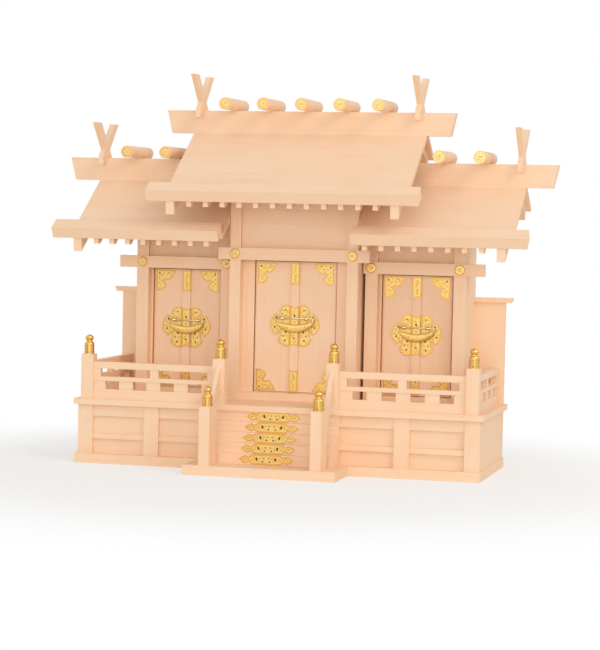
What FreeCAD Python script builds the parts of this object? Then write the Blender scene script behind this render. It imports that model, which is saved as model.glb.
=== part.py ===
import FreeCAD
import Part
import math
import os

os.makedirs("parts", exist_ok=True)

# Frame: X to the viewer's right, front towards -Y, Z up, origin on the floor
# under the middle of the base's front posts. All sizes in mm.

# base
slabHalf = 223.4
slabFront = -6.0
baseBack = 155.0
floorOver = 2.0
slabTop = 10.5
rimBottom = 63.7
floorTop = 70.0
rimHalf = 226.0
rimFront = -3.5
postFace = 0.0
panelSet = 5.0
panelThick = 6.0
basePostWide = 16.5
innerPostX = 138.3
upperRailLow = 51.3
midRailLow = 26.5
midRailHigh = 32.3
railSet = 2.0
sideHalf = 221.9
outerPostX = sideHalf - basePostWide / 2

# stairs
stairSlabHalf = 82.0
stairSlabFront = -66.0
stairHalf = 71.3
stepCount = 5
stairRun = 7.2
stairTopY = -1.0

# posts of the railing
railLine = 6.8
cornerX = 212.5
postSize = 13.4
newelX = 62.6
newelFront = -3.0
newelY = newelFront + postSize / 2
railPostTop = 118.6
footNewelX = 60.2
footNewelWide = 11.6
footNewelFront = -62.0
footNewelBack = -35.0
footNewelTop = 72.2
footFinialY = -51.5
finialHigh = 21.0
finialR = 5.3

# railing
topRailLow = 103.1
topRailHigh = 110.2
midRailBot = 89.7
midRailTop = 94.3
footRailHigh = 80.5
railDeep = 7.0
plinthDeep = 8.0
latticePitch = 31.2
latticeWide = 15.5
latticeFirst = 91.2
latticeCount = 4
smallPostX = 137.0
smallPostWide = 9.2
endPostWide = 7.7
barSet = 0.5
latticeSet = 1.0
handX = 62.7
handThick = 4.5
handTop = 111.0
handHigh = 24.5
handDrop = 44.0

# side screens
screenFace = 147.5
screenThick = 6.0
screenEdge = 222.3
screenTop = 182.5
capHigh = 5.4
capTip = 231.2
capSlant = 2.4
capProud = 3.0
screenClear = 0.5

# cabinets
mainPostX = 66.2
mainPostWide = 12.2
mainFace = 67.0
mainWall = 72.0
mainDoorHalf = 46.7
mainDoorLow = 79.0
mainDoorHigh = 223.6
wingFace = 91.0
wingInnerX = 82.4
wingOuterX = 180.5
wingPostWide = 13.6
wingWallIn = 75.8
wingWallOut = 187.4
wingDoorX = 131.6
wingDoorHalf = 39.8
wingDoorLow = 78.4
wingDoorHigh = 211.4
postDeep = 12.0
wallThick = 6.0
cabinetBack = 154.0
lintelHigh = 13.2
lintelDeep = 12.5
lintelProud = 1.8
mainLintelHalf = 85.0
wingLintelIn = 73.4
wingLintelOut = 206.8
bossR = 5.3
bossThick = 1.8
friezeSet = 5.0
friezeThick = 5.0
ceilingGap = 8.0
roomDrop = 2.0
lintelClear = 0.6
lintelSlack = 0.5
bossRound = 0.9
sillSet = 3.0
sillClear = 0.4

# doors
leafThick = 6.0
leafGap = 0.6
meetGap = 0.6
pivotR = 1.5
pivotHole = 1.9
pivotLong = 4.0
pivotClear = 0.6
stripHalf = 4.6
stripProud = 2.0
stripClear = 0.4

# roofs
pitch = math.radians(33.0)
ridgeMid = 131.5
ridgeThick = 13.0
ridgeHigh = 25.4
mainPlane = 364.4
wingPlane = 309.4
boardThick = 5.0
underRoofFront = 6.0
mainRoofOver = 61.5
wingRoofOver = 57.2
wingRoofClear = 0.8
mainStripOver = 16.2
wingStripOver = 18.0
mainRidgeOver = 26.2
mainRidgeFlare = 5.5
wingRidgeOver = 29.3
wingRidgeFlare = 6.1
mainRoofHalf = mainWall + mainRoofOver
wingRoofOut = wingWallOut + wingRoofOver
wingRoofIn = mainWall + wingRoofClear
rearEnd = 171.0
stripPitch = math.radians(29.5)
stripLong = 18.2
stripThick = 12.8
boardTuck = 3.5
mainEaveY = 19.5
wingEaveY = 38.5
stripGap = 0.6
mainStripHalf = mainRoofHalf + mainStripOver
wingStripOut = wingRoofOut + wingStripOver
mainRidgeLow = mainRoofHalf + mainRidgeOver
mainRidgeTop = mainRidgeLow + mainRidgeFlare
wingRidgeLow = wingRoofOut + wingRidgeOver
wingRidgeTop = wingRidgeLow + wingRidgeFlare
rafterWide = 5.4
rafterHigh = 4.2
rafterRest = 6.0
rafterRear = 6.0
tailSet = 2.5
tailDrop = 7.0
tailCut = 0.6
bargeThick = 9.2
bargeInset = 5.2
bargeSet = 1.5
bargeCut = 2.0
bargeDrop = 14.2
rafterClear = 13.8
mainRafters = 12
wingRafters = 8
bargeCrown = 17.0
bargeMiddle = 11.0
bargeRearTip = 13.5
bargeRearSet = 5.0
bargeRearCut = 4.0
logR = 7.0
logSink = 0.8
logMid = 123.0
logHalf = 37.5
capR = 6.0
capThick = 1.0
mainLogPitch = 43.3
wingLogFirst = 155.0
wingLogPitch = 45.0
crossEnd = 34.4
crossAhead = 5.0
crossY = ridgeMid - crossAhead
crossThick = 5.6
crossWide = 11.0
crossRise = 9.3
crossTop = 39.0
crossAngle = math.radians(44.5)
crossFoot = 15.5
crossLegs = 8.0
crossReach = 60.0


def box(x0, x1, y0, y1, z0, z1):
    return Part.makeBox(x1 - x0, y1 - y0, z1 - z0, FreeCAD.Vector(x0, y0, z0))


def fused(shapes):
    whole = shapes[0]
    for other in shapes[1:]:
        whole = whole.fuse(other)
    return whole.removeSplitter()


def flipped(shape):
    return shape.mirror(FreeCAD.Vector(0, 0, 0), FreeCAD.Vector(1, 0, 0))


def both(shape):
    return Part.makeCompound([shape, flipped(shape)])


def sideProfile(points, x0, x1):
    # a (y, z) outline stretched along X
    corners = [FreeCAD.Vector(x0, y, z) for y, z in points]
    face = Part.Face(Part.makePolygon(corners + corners[:1]))
    return face.extrude(FreeCAD.Vector(x1 - x0, 0, 0))


def frontProfile(points, y0, y1):
    # an (x, z) outline stretched along Y
    corners = [FreeCAD.Vector(x, y0, z) for x, z in points]
    face = Part.Face(Part.makePolygon(corners + corners[:1]))
    return face.extrude(FreeCAD.Vector(0, y1 - y0, 0))


def rod(radius, low, high, x, y):
    return Part.makeCylinder(radius, high - low, FreeCAD.Vector(x, y, low))


def save(shape, node):
    shape.exportStep("parts/" + node + ".step")


# a point on the top face of a roof, y measured from the front
def planeZ(plane, y):
    ridgeFace = ridgeMid - ridgeThick / 2
    return plane - (ridgeFace - y) * math.tan(pitch)


def peakZ(plane):
    return planeZ(plane, ridgeMid)


def underZ(plane, y, gap):
    return planeZ(plane, y) - gap / math.cos(pitch)


# base
def baseSlab():
    wide = box(-slabHalf, slabHalf, slabFront, baseBack, 0, slabTop)
    step = box(-stairSlabHalf, stairSlabHalf, stairSlabFront, slabFront, 0, slabTop)
    return fused([wide, step])


def basePosts():
    posts = []
    for x in (outerPostX, innerPostX):
        low, high = x - basePostWide / 2, x + basePostWide / 2
        posts.append(box(low, high, postFace, panelSet, slabTop, rimBottom))
    return Part.makeCompound([both(post) for post in posts])


def baseBox():
    outer = box(-sideHalf, sideHalf, panelSet, baseBack, slabTop, rimBottom)
    room = sideHalf - panelThick
    inner = box(-room, room, panelSet + panelThick, baseBack - panelThick, slabTop, rimBottom)
    return outer.cut(inner)


def railPair(x0, x1, y0, y1):
    top = box(x0, x1, y0, y1, upperRailLow, rimBottom)
    mid = box(x0, x1, y0, y1, midRailLow, midRailHigh)
    return [top, mid]


def baseRails():
    halfPost = basePostWide / 2
    spans = [(innerPostX + halfPost, outerPostX - halfPost), (stairHalf, innerPostX - halfPost)]
    rails = []
    for low, high in spans:
        rails += railPair(low, high, railSet, panelSet)
    return Part.makeCompound([both(rail) for rail in rails])


def floorBoard():
    return box(-rimHalf, rimHalf, rimFront, baseBack + floorOver, rimBottom, floorTop)


def stairs():
    rise = (rimBottom - slabTop) / stepCount
    outline = [(postFace, slabTop)]
    for step in range(stepCount):
        y = stairTopY - stairRun * (stepCount - 1 - step)
        outline.append((y, slabTop + rise * step))
        outline.append((y, slabTop + rise * (step + 1)))
    outline.append((postFace, rimBottom))
    block = sideProfile(outline, -stairHalf, stairHalf)
    rear = box(-stairHalf, stairHalf, postFace, panelSet, slabTop, rimBottom)
    return fused([block, rear])


# posts and rails
def squarePost(x, y, wide, deep, low, high):
    return box(x - wide / 2, x + wide / 2, y - deep / 2, y + deep / 2, low, high)


def railingPosts():
    corner = squarePost(cornerX, railLine, postSize, postSize, floorTop, railPostTop)
    newel = squarePost(newelX, newelY, postSize, postSize, floorTop, railPostTop)
    return Part.makeCompound([both(corner), both(newel)])


def footNewels():
    deep = footNewelBack - footNewelFront
    middle = (footNewelBack + footNewelFront) / 2
    return both(squarePost(footNewelX, middle, footNewelWide, deep, slabTop, footNewelTop))


def finial(x, y, low):
    # drum, neck and pointed ball, turned about an upright axis
    shape = [
        (0, 0),
        (finialR, 0),
        (finialR, 0.52),
        (0.9 * finialR, 0.58),
        (0.62 * finialR, 0.64),
        (0.58 * finialR, 0.68),
        (0.8 * finialR, 0.75),
        (0.86 * finialR, 0.82),
        (0.74 * finialR, 0.9),
        (0.4 * finialR, 0.97),
        (0, 1.0),
    ]
    corners = [FreeCAD.Vector(x + r, y, low + t * finialHigh) for r, t in shape]
    face = Part.Face(Part.makePolygon(corners + corners[:1]))
    return face.revolve(FreeCAD.Vector(x, y, low), FreeCAD.Vector(0, 0, 1), 360)


def finials():
    spots = [(cornerX, railLine, railPostTop), (newelX, newelY, railPostTop)]
    spots.append((footNewelX, footFinialY, footNewelTop))
    return Part.makeCompound([both(finial(x, y, z)) for x, y, z in spots])


def frontRailing():
    low = newelX + postSize / 2
    high = cornerX - postSize / 2
    front, back = railLine - railDeep / 2, railLine + railDeep / 2
    plinth = box(low, high, railLine - plinthDeep / 2, railLine + plinthDeep / 2, floorTop, footRailHigh)
    bars = [plinth]
    bars.append(box(low, high, front, back, midRailBot, midRailTop))
    bars.append(box(low, high, front, back, topRailLow, topRailHigh))
    band = box(low, high, front + latticeSet, back - latticeSet, footRailHigh, midRailBot)
    for i in range(latticeCount):
        x = latticeFirst + latticePitch * i
        hole = box(x - latticeWide / 2, x + latticeWide / 2, front, back, footRailHigh, midRailBot)
        band = band.cut(hole)
    bars.append(band)
    spots = [(smallPostX, smallPostWide), (low + endPostWide / 2, endPostWide)]
    spots.append((high - endPostWide / 2, endPostWide))
    for x, wide in spots:
        bars.append(squarePost(x, railLine, wide, railDeep - 2 * barSet, midRailTop, topRailLow))
    return both(fused(bars))


def sideRailing():
    start = railLine + postSize / 2
    inner, outer = cornerX - railDeep / 2, cornerX + railDeep / 2
    wideIn, wideOut = cornerX - plinthDeep / 2, cornerX + plinthDeep / 2
    end = screenFace - screenClear
    bars = [box(wideIn, wideOut, start, end, floorTop, footRailHigh)]
    bars.append(box(inner, outer, start, end, midRailBot, midRailTop))
    bars.append(box(inner, outer, start, end, topRailLow, topRailHigh))
    band = box(inner + latticeSet, outer - latticeSet, start, end, footRailHigh, midRailBot)
    step = (end - start) / latticeCount
    for i in range(latticeCount):
        y = start + step * (i + 0.5)
        band = band.cut(box(inner, outer, y - latticeWide / 2, y + latticeWide / 2, footRailHigh, midRailBot))
    bars.append(band)
    for y in (start + smallPostWide / 2, (start + end) / 2, end - smallPostWide / 2):
        half = smallPostWide / 2
        bars.append(box(inner + barSet, outer - barSet, y - half, y + half, midRailTop, topRailLow))
    return both(fused(bars))


def handrails():
    # slanting boards from the foot newels up to the posts on the floor
    outline = [
        (newelFront, handTop),
        (newelFront, handTop - handHigh),
        (footNewelBack, handTop - handHigh - handDrop),
        (footNewelBack, handTop - handDrop),
    ]
    return both(sideProfile(outline, handX - handThick / 2, handX + handThick / 2))


def sideScreens():
    inner = wingWallOut
    back = screenFace + screenThick
    panel = box(inner, screenEdge, screenFace, back, floorTop, screenTop)
    tip = [
        (inner, screenTop),
        (capTip - capSlant, screenTop),
        (capTip, screenTop + capHigh),
        (inner, screenTop + capHigh),
    ]
    cap = frontProfile(tip, screenFace - capProud, back)
    return both(fused([panel, cap]))


# cabinets
def underRoof(plane, x0, x1, gap):
    front, back = underRoofFront, rearEnd
    outline = [
        (front, floorTop),
        (front, underZ(plane, front, gap)),
        (ridgeMid, underZ(plane, ridgeMid, gap)),
        (back, underZ(plane, 2 * ridgeMid - back, gap)),
        (back, floorTop),
    ]
    return sideProfile(outline, x0, x1)


def cabinetShell(x0, x1, face, plane, doorX, doorHalf, doorLow, doorHigh):
    wallFace = face + postDeep
    outer = box(x0, x1, wallFace, cabinetBack, floorTop, peakZ(plane))
    outer = outer.common(underRoof(plane, x0, x1, boardThick))
    innerFront = wallFace + leafThick
    room = box(x0 + wallThick, x1 - wallThick, innerFront, cabinetBack - wallThick,
               doorLow - roomDrop, doorHigh + ceilingGap)
    attic = box(x0 + wallThick, x1 - wallThick, innerFront, cabinetBack - wallThick,
                doorHigh + ceilingGap + wallThick, peakZ(plane))
    doorway = box(doorX - doorHalf, doorX + doorHalf, wallFace, innerFront, doorLow, doorHigh)
    shell = outer.cut(room).cut(attic).cut(doorway)
    for side in (-1, 1):
        x = doorX + side * (doorHalf - leafGap - leafThick / 2)
        y = wallFace + leafThick / 2
        deep = pivotLong + pivotClear
        shell = shell.cut(rod(pivotHole, doorLow - deep, doorHigh + deep, x, y))
    return shell.removeSplitter()


def mainShell():
    return cabinetShell(-mainWall, mainWall, mainFace, mainPlane, 0, mainDoorHalf,
                        mainDoorLow, mainDoorHigh)


def wingShell():
    return cabinetShell(wingWallIn, wingWallOut, wingFace, wingPlane, wingDoorX, wingDoorHalf,
                        wingDoorLow, wingDoorHigh)


def frontPost(x, wide, face, plane):
    post = box(x - wide / 2, x + wide / 2, face, face + postDeep, floorTop, peakZ(plane))
    return post.common(underRoof(plane, x - wide, x + wide, boardThick + rafterHigh))


def lintel(x0, x1, face, low):
    back = face - lintelProud + lintelDeep - lintelSlack
    return box(x0, x1, face - lintelProud, back, low, low + lintelHigh)


def mainLintel():
    return lintel(-mainLintelHalf, mainLintelHalf, mainFace, mainDoorHigh + lintelClear)


def wingLintel():
    return lintel(wingLintelIn, wingLintelOut, wingFace, wingDoorHigh + lintelClear)


def mainPosts():
    post = frontPost(mainPostX, mainPostWide, mainFace, mainPlane)
    return both(post.cut(mainLintel()))


def wingPosts():
    posts = [frontPost(x, wingPostWide, wingFace, wingPlane) for x in (wingInnerX, wingOuterX)]
    bar = wingLintel()
    return Part.makeCompound([post.cut(bar) for post in posts])


def frieze(x0, x1, face, plane, low):
    front = face + friezeSet
    board = box(x0, x1, front, front + friezeThick, low, peakZ(plane))
    return board.common(underRoof(plane, x0, x1, boardThick + rafterHigh))


def mainFrieze():
    half = mainPostX - mainPostWide / 2
    return frieze(-half, half, mainFace, mainPlane, mainDoorHigh + lintelClear + lintelHigh)


def wingFrieze():
    low = wingInnerX + wingPostWide / 2
    high = wingOuterX - wingPostWide / 2
    return frieze(low, high, wingFace, wingPlane, wingDoorHigh + lintelClear + lintelHigh)


def sill(x0, x1, face, top):
    return box(x0, x1, face + sillSet, face + postDeep, floorTop, top)


def boss(x, face, low):
    z = low + lintelClear + lintelHigh / 2
    start = FreeCAD.Vector(x, face - lintelProud - bossThick, z)
    button = Part.makeCylinder(bossR, bossThick, start, FreeCAD.Vector(0, 1, 0))
    rim = [edge for edge in button.Edges if edge.CenterOfMass.y < start.y + bossThick / 4]
    return button.makeFillet(bossRound, rim[:1])


def bosses():
    buttons = [boss(mainPostX, mainFace, mainDoorHigh)]
    buttons += [boss(x, wingFace, wingDoorHigh) for x in (wingInnerX, wingOuterX)]
    return Part.makeCompound([both(button) for button in buttons])


# doors
def leaf(side, doorX, doorHalf, face, low, high):
    # side -1 is the left leaf, which carries the meeting strip
    wallFace = face + postDeep
    half = leafThick / 2
    pivotX = doorX + side * (doorHalf - leafGap - half)
    pivotY = wallFace + half
    meet = doorX + side * meetGap / 2
    z0, z1 = low + leafGap, high - leafGap
    body = box(min(pivotX, meet), max(pivotX, meet), wallFace, wallFace + leafThick, z0, z1)
    edge = rod(half, z0, z1, pivotX, pivotY)
    pin = rod(pivotR, z0 - pivotLong, z1 + pivotLong, pivotX, pivotY)
    pieces = [body, edge, pin]
    if side < 0:
        front = wallFace - stripClear - stripProud
        back = wallFace - stripClear
        pieces.append(box(doorX - stripHalf, doorX + stripHalf, front, back, z0, z1))
        pieces.append(box(doorX - stripHalf, meet, back, wallFace, z0, z1))
    return fused(pieces)


# roofs
def boardFront(plane, eaveY):
    # the upper front edge of the roof boards, tucked under the eave strip
    y = eaveY - boardTuck
    return y, planeZ(plane, y)


def boardLow(plane, eaveY):
    y, z = boardFront(plane, eaveY)
    return y + boardThick * math.sin(pitch), z - boardThick * math.cos(pitch)


def roofBoards(plane, eaveY, x0, x1):
    peak = peakZ(plane)
    rearZ = planeZ(plane, 2 * ridgeMid - rearEnd)
    drop = boardThick / math.cos(pitch)
    shift = boardThick * math.sin(pitch)
    sink = boardThick * math.cos(pitch)
    outline = [
        boardFront(plane, eaveY),
        (ridgeMid, peak),
        (rearEnd, rearZ),
        (rearEnd - shift, rearZ - sink),
        (ridgeMid, peak - drop),
        boardLow(plane, eaveY),
    ]
    return sideProfile(outline, x0, x1)


def stripNose(eaveY):
    return eaveY - stripLong * math.cos(stripPitch)


# the underside of the eave strip, which lies flatter than the roof
def stripLow(plane, eaveY, y):
    frontY, frontZ = boardFront(plane, eaveY)
    return frontZ - (frontY - y) * math.tan(stripPitch)


def eaveStrip(plane, eaveY, x0, x1):
    rise, lean = stripThick * math.cos(stripPitch), stripThick * math.sin(stripPitch)
    backZ = planeZ(plane, eaveY)
    noseY = stripNose(eaveY)
    noseZ = stripLow(plane, eaveY, noseY)
    outline = [
        (eaveY, backZ),
        (eaveY - lean, backZ + rise),
        (noseY - lean, noseZ + rise),
        (noseY, noseZ),
        boardFront(plane, eaveY),
    ]
    return sideProfile(outline, x0, x1)


def rafter(x, plane, eaveY, wallY):
    # straight under the boards, then a level tail under the eave strip
    tailY = stripNose(eaveY) + tailSet
    tailTop = stripLow(plane, eaveY, tailY)
    tailLow = tailTop - tailDrop
    gap = boardThick + rafterHigh
    topY = wallY + rafterRest
    bendY = topY - (underZ(plane, topY, gap) - tailLow) / math.tan(pitch)
    outline = [
        (tailY, tailTop),
        boardFront(plane, eaveY),
        boardLow(plane, eaveY),
        (topY, underZ(plane, topY, boardThick)),
        (topY, underZ(plane, topY, gap)),
        (bendY, tailLow),
        (tailY + tailCut, tailLow),
    ]
    return sideProfile(outline, x - rafterWide / 2, x + rafterWide / 2)


def rearRafter(x, plane):
    back = cabinetBack
    end = rearEnd - rafterRear
    outline = []
    for y in (back, end):
        outline.append((y, underZ(plane, 2 * ridgeMid - y, boardThick)))
    for y in (end - rafterHigh * math.sin(pitch), back):
        outline.append((y, underZ(plane, 2 * ridgeMid - y, boardThick + rafterHigh)))
    return sideProfile(outline, x - rafterWide / 2, x + rafterWide / 2)


def bargeboard(plane, eaveY, x0, x1):
    # a bent board under both slopes, its lower edge bowed and its ends cut back
    def at(y, z):
        return FreeCAD.Vector(x0, y, z)

    def under(y, gap):
        front = y if y <= ridgeMid else 2 * ridgeMid - y
        return at(y, underZ(plane, front, boardThick) - gap)

    noseY = stripNose(eaveY)
    headY = noseY + bargeSet
    rearY = rearEnd - bargeRearSet
    corners = [
        at(headY, stripLow(plane, eaveY, headY)),
        at(*boardFront(plane, eaveY)),
        at(*boardLow(plane, eaveY)),
        under(ridgeMid, 0),
        under(rearY, 0),
        under(rearY - bargeRearCut, bargeRearTip),
    ]
    crown = under(ridgeMid, bargeCrown)
    tip = at(headY + bargeCut, stripLow(plane, eaveY, noseY) - bargeDrop)
    edges = [Part.makeLine(a, b) for a, b in zip(corners, corners[1:])]
    rearBow = under((corners[-1].y + ridgeMid) / 2, bargeMiddle)
    frontBow = under((tip.y + ridgeMid) / 2, bargeMiddle)
    edges.append(Part.Arc(corners[-1], rearBow, crown).toShape())
    edges.append(Part.Arc(crown, frontBow, tip).toShape())
    edges.append(Part.makeLine(tip, corners[0]))
    face = Part.Face(Part.Wire(edges))
    return face.extrude(FreeCAD.Vector(x1 - x0, 0, 0))


def ridge(plane, outline, boards):
    block = frontProfile(outline, ridgeMid - ridgeThick / 2, ridgeMid + ridgeThick / 2)
    return block.cut(boards)


def mainRidge(boards):
    low, high = mainPlane, mainPlane + ridgeHigh
    outline = [
        (-mainRidgeLow, low),
        (mainRidgeLow, low),
        (mainRidgeTop, high),
        (-mainRidgeTop, high),
    ]
    return ridge(mainPlane, outline, boards)


def wingRidge(boards):
    low, high = wingPlane, wingPlane + ridgeHigh
    outline = [
        (wingRoofIn, low),
        (wingRidgeLow, low),
        (wingRidgeTop, high),
        (wingRoofIn, high),
    ]
    return ridge(wingPlane, outline, boards)


# the middle of the outermost rafter, next to the bargeboard
def outerRafter(roofEnd):
    return roofEnd - bargeInset - bargeThick - rafterClear - rafterWide / 2


def mainRafterSet():
    sticks = []
    step = 2 * outerRafter(mainRoofHalf) / (mainRafters - 1)
    for i in range(mainRafters // 2):
        x = step * (i + 0.5)
        sticks.append(both(rafter(x, mainPlane, mainEaveY, mainFace)))
        sticks.append(both(rearRafter(x, mainPlane)))
    return Part.makeCompound(sticks)


def wingRafterSet():
    sticks = []
    first = wingInnerX + rafterWide
    step = (outerRafter(wingRoofOut) - first) / (wingRafters - 1)
    for i in range(wingRafters):
        x = first + step * i
        sticks.append(both(rafter(x, wingPlane, wingEaveY, wingFace)))
        sticks.append(both(rearRafter(x, wingPlane)))
    return Part.makeCompound(sticks)


def logAt(x, plane):
    z = plane + ridgeHigh + logR - logSink
    start = FreeCAD.Vector(x, logMid - logHalf, z)
    log = Part.makeCylinder(logR, 2 * logHalf, start, FreeCAD.Vector(0, 1, 0))
    seat = box(x - logR, x + logR, logMid - logHalf, logMid + logHalf, z - logR, plane + ridgeHigh)
    return log.cut(seat)


def logSpots():
    spots = [(mainLogPitch * i, mainPlane) for i in range(-2, 3)]
    for x in (wingLogFirst, wingLogFirst + wingLogPitch):
        spots += [(x, wingPlane), (-x, wingPlane)]
    return spots


def ridgeLogs():
    return Part.makeCompound([logAt(x, plane) for x, plane in logSpots()])


def logCaps():
    caps = []
    for x, plane in logSpots():
        z = plane + ridgeHigh + logR - logSink
        for y in (logMid - logHalf - capThick, logMid + logHalf):
            start = FreeCAD.Vector(x, y, z)
            caps.append(Part.makeCylinder(capR, capThick, start, FreeCAD.Vector(0, 1, 0)))
    return Part.makeCompound(caps)


def crossPair(ridgeLow, plane):
    # two flat boards halved together, their legs notched over the ridge
    x = ridgeLow - crossEnd
    foot = plane + ridgeHigh
    middle = foot + crossRise
    low, high = x - crossThick / 2, x + crossThick / 2
    board = box(low, high, crossY - crossWide / 2, crossY + crossWide / 2,
                middle - crossReach, middle + crossReach)
    pivot = FreeCAD.Vector(x, crossY, middle)
    tilted = []
    for turn in (-1, 1):
        copy = board.copy()
        copy.rotate(pivot, FreeCAD.Vector(1, 0, 0), turn * math.degrees(crossAngle))
        tilted.append(copy)
    upper = box(low, high, crossY - crossReach, crossY + crossReach, middle, foot + crossTop)
    legs = box(low, high, crossY - crossFoot, crossY + crossFoot, foot - crossLegs, middle)
    half = ridgeThick / 2
    notch = box(low, high, ridgeMid - half, ridgeMid + half, plane, foot)
    return fused(tilted).common(fused([upper, legs])).cut(notch)


def crossBoards():
    pairs = [both(crossPair(mainRidgeLow, mainPlane)), both(crossPair(wingRidgeLow, wingPlane))]
    return Part.makeCompound(pairs)


save(baseSlab(), "base_slab")
save(baseBox(), "base_box")
save(basePosts(), "base_posts")
save(baseRails(), "base_rails")
save(floorBoard(), "floor_board")
save(stairs(), "stairs")
save(railingPosts(), "railing_posts")
save(footNewels(), "stair_newels")
save(finials(), "finials")
save(frontRailing(), "front_railings")
save(sideRailing(), "side_railings")
save(handrails(), "stair_handrails")
save(sideScreens(), "side_screens")

save(mainShell(), "main_cabinet")
save(mainPosts(), "main_posts")
save(mainLintel(), "main_lintel")
save(mainFrieze(), "main_frieze")
save(sill(-mainPostX + mainPostWide / 2, mainPostX - mainPostWide / 2, mainFace, mainDoorLow - sillClear),
     "main_sill")
sillLow = wingInnerX + wingPostWide / 2
sillHigh = wingOuterX - wingPostWide / 2
wingSides = (("right", lambda shape: shape), ("left", flipped))
for name, place in wingSides:
    save(place(wingShell()), name + "_cabinet")
    save(place(wingPosts()), name + "_posts")
    save(place(wingLintel()), name + "_lintel")
    save(place(wingFrieze()), name + "_frieze")
    save(place(sill(sillLow, sillHigh, wingFace, wingDoorLow - sillClear)), name + "_sill")
save(bosses(), "lintel_bosses")

bays = (("main", 0, mainDoorHalf, mainFace, mainDoorLow, mainDoorHigh),
        ("left", -wingDoorX, wingDoorHalf, wingFace, wingDoorLow, wingDoorHigh),
        ("right", wingDoorX, wingDoorHalf, wingFace, wingDoorLow, wingDoorHigh))
for name, doorX, half, face, low, high in bays:
    save(leaf(-1, doorX, half, face, low, high), name + "_door_left")
    save(leaf(1, doorX, half, face, low, high), name + "_door_right")

mainBoards = roofBoards(mainPlane, mainEaveY, -mainRoofHalf, mainRoofHalf)
wingBoards = roofBoards(wingPlane, wingEaveY, wingRoofIn, wingRoofOut)
save(mainBoards, "main_roof")
save(both(wingBoards), "side_roofs")
save(mainRidge(mainBoards), "main_ridge")
save(both(wingRidge(wingBoards)), "side_ridges")
save(eaveStrip(mainPlane, mainEaveY, -mainStripHalf, mainStripHalf), "main_eave")
save(both(eaveStrip(wingPlane, wingEaveY, wingRoofIn + stripGap, wingStripOut)), "side_eaves")
save(mainRafterSet(), "main_rafters")
save(wingRafterSet(), "side_rafters")
mainBarge = mainRoofHalf - bargeInset
wingBarge = wingRoofOut - bargeInset
save(both(bargeboard(mainPlane, mainEaveY, mainBarge - bargeThick, mainBarge)), "main_bargeboards")
save(both(bargeboard(wingPlane, wingEaveY, wingBarge - bargeThick, wingBarge)), "side_bargeboards")
save(ridgeLogs(), "ridge_logs")
save(logCaps(), "ridge_log_caps")
save(crossBoards(), "ridge_crosses")
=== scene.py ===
import math

import bmesh
import bpy
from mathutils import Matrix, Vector


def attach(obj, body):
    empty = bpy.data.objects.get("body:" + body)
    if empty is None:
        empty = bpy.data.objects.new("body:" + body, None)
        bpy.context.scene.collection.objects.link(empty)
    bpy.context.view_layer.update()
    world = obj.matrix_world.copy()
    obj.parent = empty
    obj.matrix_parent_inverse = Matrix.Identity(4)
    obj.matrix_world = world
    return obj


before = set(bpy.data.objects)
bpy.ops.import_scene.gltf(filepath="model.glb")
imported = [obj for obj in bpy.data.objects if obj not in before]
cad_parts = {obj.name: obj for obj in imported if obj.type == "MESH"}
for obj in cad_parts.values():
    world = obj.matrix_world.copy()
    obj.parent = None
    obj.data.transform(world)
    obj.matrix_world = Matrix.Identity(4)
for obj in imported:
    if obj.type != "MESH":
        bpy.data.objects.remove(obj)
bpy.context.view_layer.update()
mm = 0.001


def hexToLinear(text):
    parts = [int(text[i:i + 2], 16) / 255 for i in (1, 3, 5)]
    linear = [c / 12.92 if c <= 0.04045 else ((c + 0.055) / 1.055) ** 2.4 for c in parts]
    return (*linear, 1.0)


# one node, with its settings and its inputs: a socket is linked, anything else is its value
def addNode(tree, kind, settings=None, inputs=None):
    node = tree.nodes.new(kind)
    for name, value in (settings or {}).items():
        setattr(node, name, value)
    for name, value in (inputs or {}).items():
        socket = node.inputs[name]
        for item in value if isinstance(value, list) else [value]:
            if isinstance(item, bpy.types.NodeSocket):
                tree.links.new(item, socket)
            else:
                socket.default_value = item
    return node


def newMaterial(name):
    material = bpy.data.materials.new(name)
    material.use_nodes = True
    material.node_tree.nodes.clear()
    return material, material.node_tree


# the camera stands in front, to the right of the middle and a little above the doors
camera = {
    "place": (0.5921, -2.2703, 0.2787),
    "turn": (87.0476, -1.2517, 14.0763),   # degrees
    "lens": 132.34,
    "sensor": 36,                          # mm
    "farthest": 50,                        # m
}


def addCamera():
    data = bpy.data.cameras.new("camera")
    data.lens = camera["lens"]
    data.sensor_width = camera["sensor"]
    data.sensor_fit = "HORIZONTAL"
    data.clip_end = camera["farthest"]
    obj = bpy.data.objects.new("camera", data)
    obj.location = camera["place"]
    obj.rotation_euler = [math.radians(a) for a in camera["turn"]]
    bpy.context.scene.collection.objects.link(obj)
    bpy.context.scene.camera = obj


addCamera()
print("camera placed")


studio = {
    "floorHex": "#F4F2EE",
    "floorHalf": 12,          # m
    "fade": (0.25, 0.6),      # m from the middle, where the floor turns white for the camera
    "fadeShare": (0.5, 1.0),  # how white it is at those two
    "worldStrength": 0.68,
    "aim": (0.0, 0.05, 0.2),
    "lamps": (
        # name, place in m, width in m, watts
        ("rightKey", (2.6, -1.6, 2.2), 1.6, 30),
        ("frontFill", (0.4, -3.2, 0.5), 2.0, 31.5),
    ),
}


def addLamp(name, place, width, watts):
    data = bpy.data.lights.new(name, "AREA")
    data.size = width
    data.energy = watts
    obj = bpy.data.objects.new(name, data)
    obj.location = place
    aim = Vector(studio["aim"]) - Vector(place)
    obj.rotation_euler = aim.to_track_quat("-Z", "Y").to_euler()
    bpy.context.scene.collection.objects.link(obj)


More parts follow.
